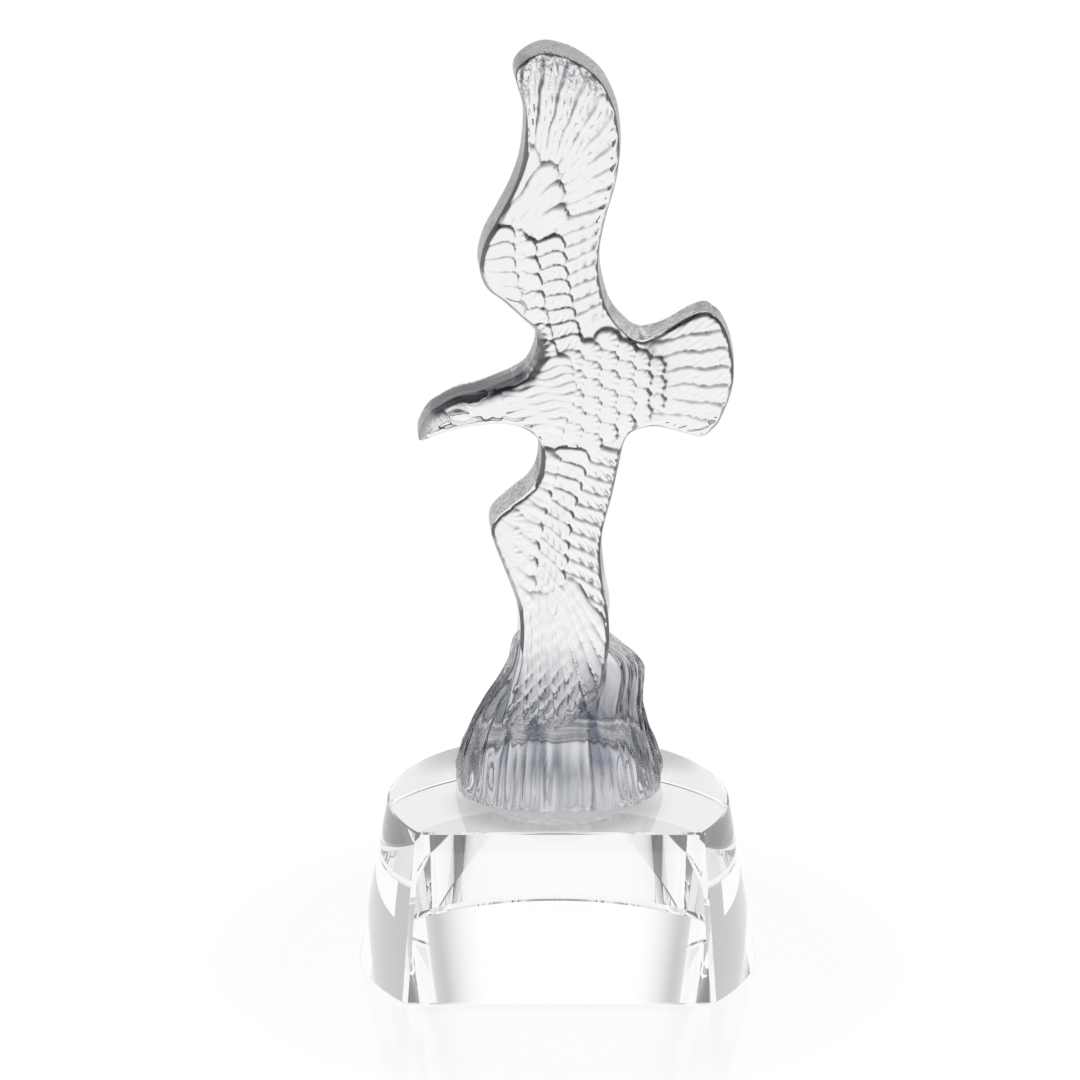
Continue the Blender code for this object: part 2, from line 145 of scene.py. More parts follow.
# %% [markdown]
# ## Feathers in rows
# The mould cutter carves feathers row by row: long quills at the wing's end, shorter ones along its
# trailing edge, then the small coverts that overlap them like roof tiles. Placing each by hand would take
# hundreds of numbers. A row instead has one guide line for the roots and one for the tips, and a loop
# spreads its feathers between the two, so a row stays tidy and can be bent by moving one point.
# %% The feather rows
# level: height at the root. lean: one side over the other. rise: tip over root. crown: swelling across.
# roll: width of the rolled edge. quill, barbs: depth of their grooves. pitch, slant, onset: the barbs'
# spacing, slope and start. rays: a fan of grooves. sway: waviness.
FeatherRow = namedtuple(
    "FeatherRow",
    "roots tips count width level lean rise crown roll quill barbs pitch slant onset rays sway",
    defaults=(0.7, 0.2, 0.15, 1.0, 0.0, 0.0, 12, 1.0, 0.1, False, 0.9))
FEATHER_ROWS = {
    "upper_primaries": FeatherRow(
        [(-46, 850), (-21, 856), (-2, 845), (6, 819), (6, 785)],
        [(-56, 1004), (-21, 1000), (16, 985), (48, 960), (70, 924), (88, 874), (86, 838), (78, 803)],
        9, 22, -0.2, lean=0.8, crown=0.6, roll=2.2, quill=1.1, barbs=0.6, pitch=21, slant=1.8, sway=0.9),
    "upper_secondaries": FeatherRow(
        [(-6, 770), (-6, 726), (5, 681), (19, 632)],
        [(74, 797), (64, 752), (66, 704), (82, 660)],
        8, 24, 0.0, lean=0.75, roll=1.8, barbs=1.3, pitch=14, slant=1.2),
    "lower_secondaries": FeatherRow(
        [(28, 476), (20, 434), (4, 389), (-1, 346), (-3, 300), (-6, 274)],
        [(92, 468), (85, 424), (75, 376), (69, 331), (74, 262), (80, 226)],
        11, 24, 0.25, lean=0.75, roll=1.8, barbs=1.3, pitch=14, slant=-1.2),
    "lower_outer_primaries": FeatherRow(
        [(10, 300), (2, 290), (-6, 286)],
        [(88, 200), (74, 136), (48, 88)],
        4, 24, 0.1, lean=0.8, rise=0.3, crown=0.9, roll=2.4),
    "lower_primaries": FeatherRow(
        [(-6, 286), (-20, 280), (-34, 280), (-52, 280)],
        [(44, 84), (24, 74), (6, 66), (-18, 60), (-41, 58), (-72, 66)],
        5, 25, -0.1, lean=0.6, rise=0.3, crown=1.0, roll=1.9, quill=0.8, barbs=2.1, pitch=21, slant=-1.4,
        onset=0.45),
    "upper_outer_coverts": FeatherRow(
        [(-38, 744), (-34, 687), (-20, 642), (-14, 600)],
        [(3, 758), (8, 706), (17, 661), (29, 612)],
        8, 25, -0.1, rise=1.1, barbs=0.8, pitch=10),
    "upper_middle_coverts": FeatherRow(
        [(-76, 738), (-72, 693), (-62, 656), (-40, 592)],
        [(-34, 758), (-25, 698), (-16, 650), (-3, 600)],
        7, 27, 0.1, rise=1.1, rays=True),
    "upper_inner_coverts": FeatherRow(
        [(-116, 748), (-112, 708), (-100, 668)],
        [(-60, 774), (-58, 718), (-44, 650)],
        6, 26, 0.3, rise=1.1),
    "lower_outer_coverts": FeatherRow(
        [(-8, 474), (-16, 428), (-28, 382), (-38, 335), (-36, 292)],
        [(40, 472), (28, 425), (14, 378), (7, 322), (-2, 238)],
        11, 26, 0.0, rise=1.0, barbs=0.7, pitch=11, slant=-1.0),
    "lower_inner_coverts": FeatherRow(
        [(-56, 474), (-76, 428), (-96, 382), (-98, 345), (-86, 320)],
        [(2, 466), (-10, 420), (-24, 373), (-33, 322), (-42, 244)],
        9, 30, 0.2, lean=0.55, rise=0.9, roll=1.6, rays=True),
    "tail_feathers": FeatherRow(
        [(94, 624), (110, 604), (123, 585), (128, 562), (123, 539), (111, 522), (101, 504)],
        [(204, 654), (224, 620), (234, 592), (236, 564), (231, 538), (222, 512), (196, 482)],
        7, 25, 0.3, lean=0.7, rise=-0.1, roll=1.9, crown=0.3, barbs=1.0, pitch=15, slant=1.6, sway=1.6),
    "neck_hackles": FeatherRow(
        [(-112, 566), (-118, 540), (-110, 498)],
        [(12, 602), (22, 553), (2, 496)],
        9, 17, -0.5, lean=0.7, rise=1.6, crown=0.2, roll=1.5, sway=2.4),
}


def single(level, **marks):
    """The style of a feather that is placed by itself."""
    return FeatherRow([], [], 1, 0, level, **marks)


# Big rounded coverts at the bend of the upper wing: root, tip and width
HAND_COVERTS = [((-40, 762), (4, 792), 28), ((-60, 758), (-2, 824), 28), ((-76, 760), (-11, 850), 30),
                ((-92, 775), (-38, 874), 42)]
HAND_STYLE = single(-0.1, lean=0.6, rise=0.9, crown=0.6, roll=1.9, quill=0.9, sway=1.5)
# Columns of scales on the body and the inner wings, each scale pointing to the tail: place along X, highest
# and lowest scale, and count
SCALE_COLUMNS = [(14, 592, 496, 5), (36, 604, 484, 6), (58, 616, 496, 6), (80, 604, 508, 5),
                 (101, 592, 520, 4), (119, 580, 532, 3), (-80, 742, 694, 3), (-62, 754, 682, 4),
                 (-64, 378, 330, 3), (-46, 366, 318, 3)]
SCALE_RADIUS = 15.5
SCALE_DROOP = 0.3
SCALE_STRAY = 1.2
SCALE_STYLE = single(0.0, lean=0.6, rise=1.0, crown=0.3, rays=True, roll=1.4, sway=0)
# The smooth cushion of the face: root, tip and width
FACE = ((-215, 470), (-72, 548), 84)
FACE_STYLE = single(0.15, lean=0, rise=0, crown=0.25, roll=2.5, sway=0)
print(sum(row.count for row in FEATHER_ROWS.values()) + len(HAND_COVERTS), "feathers and",
      sum(column[-1] for column in SCALE_COLUMNS), "scales")

# %% [markdown]
# ## One feather
# Up close a pressed feather is a low cushion: it rises to its rounded tip, is crowned across, and rolls
# off at its edge into the groove beside it. It could be sculpted, or painted as bump, but bump does not
# bend what is seen through glass as a real slope does. So each feather is a height formula over the slab's
# plane. The roll off is a parabola: where two feathers meet, two parabolas leave a soft groove with a
# crisp bottom, which is what shows as a grey line in clear glass. The quill and the barbs are narrow
# grooves cut into the cushion.
# %% The feather's height
FEATHER_CORNER = 0.45
ROLL_WIDTH = 2.8
ROLL_DEPTH = 0.28
GROUND_LEVEL = -0.35
QUILL_WIDTH = 1.4
QUILL_DEPTH = 0.25
BARB_WIDTH = 2.3
BARB_DEPTH = 0.34
RAY_SPREAD = 0.5
RAY_DEPTH = 0.4
SWAY_TURNS = 0.13
BARB_SHIFT = 0.17
BARB_MIDDLE = -0.1
BARB_SPREAD = 1.3
BARB_FADE = 0.3
RAY_CENTRE = 0.35
RAY_WIDTH = 0.3


def groove(offset, width):
    """A soft groove of depth 1 at offset 0."""
    return np.exp(-(offset / width) ** 2)


def feather(x, z, root, tip, width, style):
    """The height of one feather, in shares of RELIEF_DEPTH."""
    root, tip = np.asarray(root, float), np.asarray(tip, float)
    length = np.hypot(*(tip - root))
    ux, uz = (tip - root) / length
    s = (x - root[0]) * ux + (z - root[1]) * uz
    t = (z - root[1]) * ux - (x - root[0]) * uz
    t = t + style.sway * np.sin(SWAY_TURNS * s + root[1])
    corner = width * FEATHER_CORNER
    over_s = np.abs(s - length / 2) - (length / 2 - corner)
    over_t = np.abs(t) - (width / 2 - corner)
    outside = np.hypot(np.maximum(over_s, 0), np.maximum(over_t, 0)) - corner
    outside += np.minimum(np.maximum(over_s, over_t), 0)
    rise = np.clip(s / length, 0, 1)
    across = np.clip(t / (width / 2), -1, 1)
    top = style.level + style.rise * rise + style.lean * across / 2 + style.crown * (1 - across ** 2)
    top -= ROLL_DEPTH * np.clip(outside / (style.roll * ROLL_WIDTH) + 1, 0, 4) ** 2
    if style.quill:
        top -= style.quill * QUILL_DEPTH * groove(t, QUILL_WIDTH)
    if style.barbs:
        wave = (s - style.slant * t) / style.pitch + BARB_SHIFT * root[1]
        nearest = (wave - np.round(wave)) * style.pitch / math.hypot(1, style.slant)
        lens = np.clip(1 - BARB_SPREAD * (across - BARB_MIDDLE) ** 2, 0, 1)
        lens = lens * np.clip((rise - style.onset) / BARB_FADE, 0, 1)
        top -= style.barbs * BARB_DEPTH * lens * groove(nearest, BARB_WIDTH)
    if style.rays:
        bearing = np.arctan2(t, np.maximum(s - RAY_CENTRE * length, 0.2)) / RAY_SPREAD
        reach = np.clip(1.5 * rise - 0.6, 0, 1)
        top -= RAY_DEPTH * reach * groove(bearing - np.round(bearing), RAY_WIDTH)
    return top


# %% [markdown]
# ## All the carving
# The rows are laid over each other by taking the highest feather at each place, which is how overlapping
# feathers look in a mould. The body and the inner wings have columns of round scales, laid by a loop that
# strays a little from its grid, so they don't look printed. The face is a smooth cushion with a brow, an
# almond for the eye and the line of the mouth. Under the lower wing the glass has welled over the mould's
# step, and a soft ridge stands for that lip. Last comes the faint unevenness that all pressed glass has,
# because the skin of the hot glass chills before it fills the mould. It is a sum of slow waves, so every
# run gives the same surface.
# %% The carving as a height over the slab
SWELL_AT = (40, 550)
SWELL_REACH = 90
SWELL_RISE = 0.9
TAIL_ARC_AT = (30, 562)
TAIL_ARC_RADIUS = 70
TAIL_ARC_STEP = 58
TAIL_STARTS = 66
EYE_AT = (-128, 520)
EYE_LENGTH = 26
EYE_HEIGHT = 13
EYE_RISE = 0.25
LID_AT = 1.15
LID_DEPTH = 0.3
LID_WIDTH = 0.3
BROW_DEPTH = 0.3
BROW_WIDTH = 2.2
MOUTH_DEPTH = 0.35
MOUTH_WIDTH = 1.8
BROW = [(-152, 528), (-146, 522), (-138, 528), (-124, 532), (-112, 527)]
MOUTH = [(-176, 487), (-160, 494), (-146, 497), (-124, 498)]
SKIN_WAVES = [(0.11, 0.05, 1.0), (-0.07, 0.23, 2.1), (0.19, -0.32, 4.0), (0.35, 0.33, 0.4),
              (-0.41, 0.29, 5.2)]
SKIN_DEPTH = 0.02
RIM_LEVEL = 0.2
LIP_RISE = 1.3
LIP_WIDTH = 8
LIP_INSET = 9


def along(points, fraction):
    """The place at a fraction of the way along a line of points."""
    points = np.asarray(points, float)
    runs = np.r_[0, np.cumsum(np.hypot(*np.diff(points, axis=0).T))]
    return np.array([np.interp(fraction * runs[-1], runs, points[:, axis]) for axis in (0, 1)])


def distance_to(x, z, line):
    """How far each place is from a line of points."""
    nearest = np.full(np.shape(x), np.inf)
    for (ax, az), (bx, bz) in zip(line, line[1:]):
        dx, dz = bx - ax, bz - az
        t = np.clip(((x - ax) * dx + (z - az) * dz) / (dx * dx + dz * dz), 0, 1)
        nearest = np.minimum(nearest, np.hypot(x - ax - t * dx, z - az - t * dz))
    return nearest


def fade(value, start=0, end=1):
    """A soft change from 0 to 1 while a value goes from start to end."""
    held = np.clip((value - start) / (end - start), 0, 1)
    return held * held * (3 - 2 * held)


def face_marks(x, z):
    """The eye, its brow and the line of the mouth."""
    across = np.hypot((x - EYE_AT[0]) / (EYE_LENGTH / 2), (z - EYE_AT[1]) / (EYE_HEIGHT / 2))
    almond = EYE_RISE * np.clip(1 - across ** 2, 0, 1) - LID_DEPTH * groove(across - LID_AT, LID_WIDTH)
    brow = BROW_DEPTH * groove(distance_to(x, z, BROW), BROW_WIDTH)
    mouth = MOUTH_DEPTH * groove(distance_to(x, z, MOUTH), MOUTH_WIDTH)
    return almond - brow - mouth


def scales():
    """The root and tip of each scale."""
    for across, highest, lowest, count in SCALE_COLUMNS:
        for up in np.linspace(highest, lowest, count):
            sx = across + SCALE_STRAY * math.sin(3 * up)
            sz = up + SCALE_STRAY * math.sin(up + 5 * across)
            yield (sx - SCALE_RADIUS, sz + SCALE_DROOP * SCALE_RADIUS), (sx + SCALE_RADIUS, sz)


def relief(x, z):
    """The height of the carving over the slab's front plane, in shares of RELIEF_DEPTH."""
    height = np.full(np.shape(x), GROUND_LEVEL)
    for row in FEATHER_ROWS.values():
        for i in range(row.count):
            root, tip = (along(guide, (i + 0.5) / row.count) for guide in (row.roots, row.tips))
            height = np.maximum(height, feather(x, z, root, tip, row.width, row))
    for root, tip, width in HAND_COVERTS:
        height = np.maximum(height, feather(x, z, root, tip, width, HAND_STYLE))
    height = np.maximum(height, feather(x, z, *FACE, FACE_STYLE))
    for root, tip in scales():
        height = np.maximum(height, feather(x, z, root, tip, 2 * SCALE_RADIUS, SCALE_STYLE))
    swell = np.hypot(x - SWELL_AT[0], z - SWELL_AT[1]) / SWELL_REACH
    height += SWELL_RISE * np.exp(-swell ** 2) + face_marks(x, z)
    height += LIP_RISE * groove(distance_to(x, z - LIP_INSET, LIP), LIP_WIDTH)
    for along_x, along_z, phase in SKIN_WAVES:
        height += SKIN_DEPTH * np.sin(along_x * x + along_z * z + phase)
    return height


def slab_plane(x, z, share_carved):
    """Where the slab's front lies along Y before its edges are rounded."""
    front = -SLAB_THICKNESS / 2 - RELIEF_DEPTH * (RIM_LEVEL + share_carved * (relief(x, z) - RIM_LEVEL))
    past_body = (np.hypot(x - TAIL_ARC_AT[0], z - TAIL_ARC_AT[1]) - TAIL_ARC_RADIUS) / TAIL_ARC_STEP
    return front + TAIL_SETBACK * fade(past_body) * fade((x - TAIL_STARTS) / TAIL_ARC_STEP)


# %% [markdown]
# ## Rounded edges
# After pressing, the rims are fire polished, and the crown of the head and the wing's tip most of all. In
# clear glass a rounded edge acts as a lens and shows as a dark band, so its width has to be right all
# round. Each point of the outline therefore keeps its radius. Blurring it along the outline lets a wide
# rounding run out slowly into a narrow one, as a polisher's wheel leaves it. The carving fades out just
# before the rim, so that the outline stays clean.
# %% The radius round the outline and the drop it causes
ROUND_FADE = 15
RIM_WIDTH = 6
HEAD_DEEPEN = 1.2
radius_at = np.full(len(edge), EDGE_ROUND)
radius_at[:len(HEAD_TOP) * OUTLINE_STEPS] = HEAD_ROUND
tip_start = (len(HEAD_TOP) + len(UPPER_WING_LEADING) - 1) * OUTLINE_STEPS
radius_at[tip_start:tip_start + (len(WING_TIP) + 1) * OUTLINE_STEPS] = TIP_ROUND
lip_start = (len(OUTLINE) - len(THROAT) - len(LOWER_WING_LEADING) - len(LIP)) * OUTLINE_STEPS
radius_at[lip_start:lip_start + (len(LIP) - 1) * OUTLINE_STEPS] = LIP_ROUND
deepen_at = np.where(radius_at == HEAD_ROUND, HEAD_DEEPEN, 1.0)
blur = np.hanning(2 * ROUND_FADE + 1)
radius_at, deepen_at = (np.convolve(np.pad(line, ROUND_FADE, mode="wrap"), blur / blur.sum(), "valid")
                        for line in (radius_at, deepen_at))


def nearest_edge(places):
    """The outline point nearest to each place, and how far inside the outline the place is."""
    index = np.empty(len(places), int)
    for start in range(0, len(places), 2000):
        part = places[start:start + 2000]
        gaps = (part[:, None, 0] - edge[None, :, 0]) ** 2 + (part[:, None, 1] - edge[None, :, 1]) ** 2
        index[start:start + 2000] = gaps.argmin(axis=1)
    inside = -np.sum((places - edge[index]) * outward[index], axis=1)
    return index, inside


def round_drop(distance, radius):
    """How far a rounded edge has fallen at a distance inside the outline."""
    short = np.clip(radius - distance, 0, radius)
    return radius - np.sqrt(radius ** 2 - short ** 2)


def slab_front(places):
    """Where the slab's finished front lies along Y, for places in thousandths of the eagle's height."""
    index, inside = nearest_edge(places)
    plane = slab_plane(places[:, 0], places[:, 1], fade(inside / RIM_WIDTH))
    return plane + deepen_at[index] * round_drop(share(inside), radius_at[index])


print("edge radius from", round(1000 * radius_at.min(), 2), "to", round(1000 * radius_at.max(), 2), "mm")

# %% [markdown]
# ## The front as a mesh
# A square grid cut off at the outline leaves teeth along the edge, and glass shows every one. Instead the
# outline itself is part of the mesh: a few bands of points follow it where the edge is rounded, the middle
# is filled with points in a honeycomb, and a Delaunay triangulation joins them all into even triangles.
# %% Points over the front, and their triangles
GRID_PITCH = 0.00041
BAND_OFFSETS = (0.05, 0.16, 0.32, 0.52, 0.76, 1.03)


def inside_outline(places):
    """Which places lie inside the outline, by counting crossings to the right."""
    held = np.zeros(len(places), bool)
    for (ax, az), (bx, bz) in zip(edge, np.roll(edge, -1, axis=0)):
        crosses = (az > places[:, 1]) != (bz > places[:, 1])
        if az != bz:
            held ^= crosses & (places[:, 0] < ax + (places[:, 1] - az) * (bx - ax) / (bz - az))
    return held


def honeycomb(low, high, pitch):
    """Points in staggered rows."""
    rows = np.arange(low[1], high[1], pitch * math.sqrt(3) / 2)
    columns = np.arange(low[0], high[0], pitch)
    x, z = np.meshgrid(columns, rows)
    x = x + (np.arange(len(rows)) % 2)[:, None] * pitch / 2
    return np.stack((x.ravel(), z.ravel()), axis=1)


def front_points():
    """Inner points of the front, in thousandths: bands along the outline, then a honeycomb."""
    offsets = [offset / share(1) / 1000 for offset in BAND_OFFSETS]
    bands = np.concatenate([edge - outward * offset for offset in offsets])
    wanted = np.repeat(offsets, len(edge))
    index, _ = nearest_edge(bands)
    near = np.hypot(*(bands - edge[index]).T)
    bands = bands[(near > 0.93 * wanted) & inside_outline(bands)]
    pitch = GRID_PITCH / share(1)
    grid = honeycomb(edge.min(axis=0), edge.max(axis=0), pitch)
    grid = grid[inside_outline(grid)]
    index, _ = nearest_edge(grid)
    near = np.hypot(*(grid - edge[index]).T)
    return np.concatenate((bands, grid[near > offsets[-1] + 0.6 * pitch]))


def triangulate(loop, inner):
    """Triangles that fill a closed loop and use the inner points too. The loop's points come first."""
    points = [Vector(place) for place in np.concatenate((loop, inner))]
    count = len(loop)
    ring = [(i, (i + 1) % count) for i in range(count)]
    placed, _, faces, origins, _, _ = delaunay_2d_cdt(points, ring, [], 1, 1e-6)
    back = {new: min(olds) for new, olds in enumerate(origins)}
    return [[back[i] for i in face] for face in faces]


inner = front_points()
front_faces = triangulate(edge, inner)
print(len(edge) + len(inner), "points and", len(front_faces), "triangles over the front")

# %% [markdown]
# ## The slab
# The walls lean outward to the back by the mould's draft, or the casting would lock in the iron. They are
# strips of faces from the front's edge to the back. The flat back is where the glass met the plunger's
# plate, and it is ground flat with a small bevel. Both faces and walls are one closed surface, as light
# has to enter and leave it properly.
# %% Build the slab
WALL_LEVELS = 7
BACK_ANGLES = (30, 60, 90)


def grown(y, inset=0.0):
    """The outline in the plane at y, moved out by the draft and in by an inset."""
    growth = (y + SLAB_THICKNESS / 2) * math.tan(DRAFT_ANGLE) - inset
    return share(edge) + outward * np.asarray(growth).reshape(-1, 1)


def slab_mesh():
    """The eagle without its rock, as a closed mesh."""
    rim_y = slab_front(edge)
    rim = grown(rim_y)
    inner_y = slab_front(inner)
    count = len(edge)
    points = [np.column_stack((rim[:, 0], rim_y, rim[:, 1])),
              np.column_stack((share(inner[:, 0]), inner_y, share(inner[:, 1])))]
    faces = list(front_faces)
    last_wall = SLAB_THICKNESS / 2 - BACK_ROUND
    levels = [(rim_y + (last_wall - rim_y) * step / WALL_LEVELS, 0.0) for step in range(1, WALL_LEVELS + 1)]
    for degrees in BACK_ANGLES:
        angle = math.radians(degrees)
        levels.append((np.full(count, last_wall + BACK_ROUND * math.sin(angle)),
                       BACK_ROUND * (1 - math.cos(angle))))
    above = 0
    total = count + len(inner)
    for y, inset in levels:
        ring = grown(y, inset)
        points.append(np.column_stack((ring[:, 0], y, ring[:, 1])))
        for i in range(count):
            j = (i + 1) % count
            faces.append((above + i, total + i, total + j, above + j))
        above = total
        total += count
    back = triangulate(edge, np.empty((0, 2)))
    faces.extend([above + i for i in reversed(face)] for face in back)
    mesh = bpy.data.meshes.new("eagle_slab")
    mesh.from_pydata(np.concatenate(points).tolist(), [], faces)
    return mesh


def place(mesh, name, location):
    """Links a mesh as an object and moves its points, so that the object sits at the origin."""
    mesh.transform(Matrix.Translation(location))
    thing = bpy.data.objects.new(name, mesh)
    bpy.context.scene.collection.objects.link(thing)
    return thing


def outward_faces(mesh):
    bm = bmesh.new()
    bm.from_mesh(mesh)
    bmesh.ops.recalc_face_normals(bm, faces=bm.faces)
    open_edges = sum(not e.is_manifold for e in bm.edges)
    bm.to_mesh(mesh)
    bm.free()
    return open_edges


slab = slab_mesh()
print("slab:", len(slab.polygons), "faces,", outward_faces(slab), "open edges")
eagle = place(slab, "eagle", (0, EAGLE_Y, EAGLE_Z))

# %% [markdown]
# ## The rock
# The foot is a cliff of ice-like flutes: broad ridges that fan out downward, with sharper folds between
# them and small breaks across. It could be displaced noise, but noise has no direction, and these ridges
# clearly run down the casting. So the rock is skinned through level rings, and each ring is pushed in and
# out by waves that bend round the rock and drift as they climb. Folded waves give the sharp valleys. The
# waves fade out at the back, which the grinder has smoothed.
# %% The rock's rings
ROCK_PROFILE = [(0, -134, 135, 108), (14, -134, 135, 103), (44, -129, 128, 68), (76, -118, 118, 31),
                (112, -101, 111, 23), (153, -76, 112, 25), (176, -66, 106, 24), (205, -59, 74, 22),
                (224, -44, 52, 16)]
ROCK_SQUARENESS = 2.4
ROCK_CROWDING = 1.15
FLUTE_DEPTH = 0.0019
# Broad flutes: waves round the rock, share of the depth, bends round it, how far they bend, and drift upward
FLUTES = [(13, 0.55, 3, 1.6, 2.5), (21, 0.35, 2, 2.1, -3.0)]
# Finer folds: the same, with the depth in metres
FOLDS = [(34, 0.0007, 5, 1.9, 1.5), (58, 0.0008, 4, 2.0, -1.5)]
FOLD_SOFTNESS = 0.01
BACK_SMOOTH = 0.8
BREAK_DEPTH = 0.0001
FOLD_FADE = (0.18, 0.38)
FOLD_LOSS = 0.8
ROCK_AROUND = 380
ROCK_RINGS = 76


def flutes_at(up, angle):
    """How far the rock stands out at a share of its height and an angle round it."""
    strength = FLUTE_DEPTH * np.minimum(1, 0.25 + 8 * up) * (1 - 0.75 * up ** 2)
    flute = strength * sum(weight * np.sin(waves * angle + bend * np.sin(bends * angle) + drift * up)
                           for waves, weight, bends, bend, drift in FLUTES)
    sway = 0.5 * np.sin(9 * up + 3 * angle)
    lasting = 1 - FOLD_LOSS * fade(up, *FOLD_FADE)
    for waves, depth, bends, bend, drift in FOLDS:
        phase = waves * angle + bend * np.sin(bends * angle + 1) + drift * up + sway
        fold = 1 - 2 * np.sqrt(np.sin(phase / 2) ** 2 + FOLD_SOFTNESS)
        flute = flute + depth * lasting * np.minimum(1, 0.1 + 9 * up) * fold
    flute = flute + BREAK_DEPTH * np.sin(40 * up + 3 * np.sin(5 * angle) + 2 * np.sin(11 * angle))
    return flute * (1 - BACK_SMOOTH * fade(2 * np.sin(angle)))


def rock_size(height):
    """The rock's left and right reach and its half depth at a height."""
    profile = curve_through(ROCK_PROFILE, 6, False)
    return [share(np.interp(height, profile[:, 0], profile[:, k])) for k in (1, 2, 3)]


def rock_ring(height):
    """One level ring of the rock."""
    left, right, half_depth = rock_size(height)
    angle = 2 * math.pi * np.arange(ROCK_AROUND) / ROCK_AROUND
    flute = flutes_at(height / ROCK_PROFILE[-1][0], angle)
    c, s = np.cos(angle), np.sin(angle)
    x = (left + right) / 2 + (right - left) / 2 * np.sign(c) * np.abs(c) ** (2 / ROCK_SQUARENESS)
    y = half_depth * np.sign(s) * np.abs(s) ** (2 / ROCK_SQUARENESS)
    return np.column_stack((x + flute * c, y + flute * s, np.full(ROCK_AROUND, share(height))))


def rock_mesh():
    """The fluted rock as a closed mesh that narrows to stand inside the slab."""
    rings = [rock_ring((step / (ROCK_RINGS - 1)) ** ROCK_CROWDING * ROCK_PROFILE[-1][0])
             for step in range(ROCK_RINGS)]
    faces = [tuple(reversed(range(ROCK_AROUND)))]
    for ring in range(ROCK_RINGS - 1):
        low, high = ring * ROCK_AROUND, (ring + 1) * ROCK_AROUND
        for i in range(ROCK_AROUND):
            j = (i + 1) % ROCK_AROUND
            faces.append((low + i, low + j, high + j, high + i))
    faces.append(tuple(range(high, high + ROCK_AROUND)))
    mesh = bpy.data.meshes.new("rock")
    mesh.from_pydata(np.concatenate(rings).tolist(), [], faces)
    return mesh, rings[0]


rock, footprint = rock_mesh()
print("rock:", len(rock.polygons), "faces,", outward_faces(rock), "open edges")
rock_body = place(rock, "rock", (0, EAGLE_Y, EAGLE_Z))

# %% [markdown]
# ## One casting
# Eagle and rock come out of one mould as one lump of glass. Two meshes that merely overlap would show an
# inner skin where there is none, because each surface bends the light again. A Boolean union leaves one
# skin. The fast solver is enough, as both meshes are closed.
# %% Join the eagle and its rock
def join_solids(target, other):
    """Replaces the target's mesh by its union with the other, and removes the other."""
    modifier = target.modifiers.new("union", "BOOLEAN")
    modifier.operation = "UNION"
    modifier.solver = "MANIFOLD"
    modifier.object = other
    evaluated = target.evaluated_get(bpy.context.evaluated_depsgraph_get())
    joined = bpy.data.meshes.new_from_object(evaluated)
    target.modifiers.clear()
    target.data = joined
    bpy.data.objects.remove(other, do_unlink=True)


def hold_in_box(thing, node):
    """Keeps the points of a piece inside the box of the node that it stands for."""
    low, high = (np.array(corner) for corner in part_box(node))
    places = np.empty(3 * len(thing.data.vertices))
    thing.data.vertices.foreach_get("co", places)
    thing.data.vertices.foreach_set("co", np.clip(places.reshape(-1, 3), low, high).ravel())
    thing.data.update()


join_solids(eagle, rock_body)
hold_in_box(eagle, "eagle_casting")
eagle.data.calc_loop_triangles()
print("casting:", len(eagle.data.loop_triangles), "triangles")

# %% [markdown]
# ## The block
# The block is turned to a cone's stump, then one flat face is cut on its front, leaning back like the cone
# does. All its rims have small ground bevels, which catch a bright line each. A turned profile gives the
# round sides, and each flat cut is a plane that slices the mesh and closes the wound, just as the grinding
# wheel does.
# %% Turn the block and grind its faces
BASE_SEGMENTS = 512


def turned(profile, segments):
    """A closed mesh turned round Z from a profile of radius and height, top to bottom."""
    bm = bmesh.new()
    angles = 2 * np.pi * np.arange(segments) / segments
    rings = [[bm.verts.new((r * math.cos(a), r * math.sin(a), z)) for a in angles] for r, z in profile]
    bm.faces.new(rings[0])
    for high, low in zip(rings, rings[1:]):
        for i in range(segments):
            j = (i + 1) % segments
            bm.faces.new((low[i], low[j], high[j], high[i]))
    bm.faces.new(reversed(rings[-1]))
    return bm


def grind(bm, point, normal):
    """Cuts away all that lies beyond a plane and closes the cut."""
    parts = list(bm.verts) + list(bm.edges) + list(bm.faces)
    cut = bmesh.ops.bisect_plane(bm, geom=parts, plane_co=point, plane_no=normal, clear_outer=True,
                                 dist=1e-7)
    rim = [part for part in cut["geom_cut"] if isinstance(part, bmesh.types.BMEdge)]
    bmesh.ops.contextual_create(bm, geom=rim)


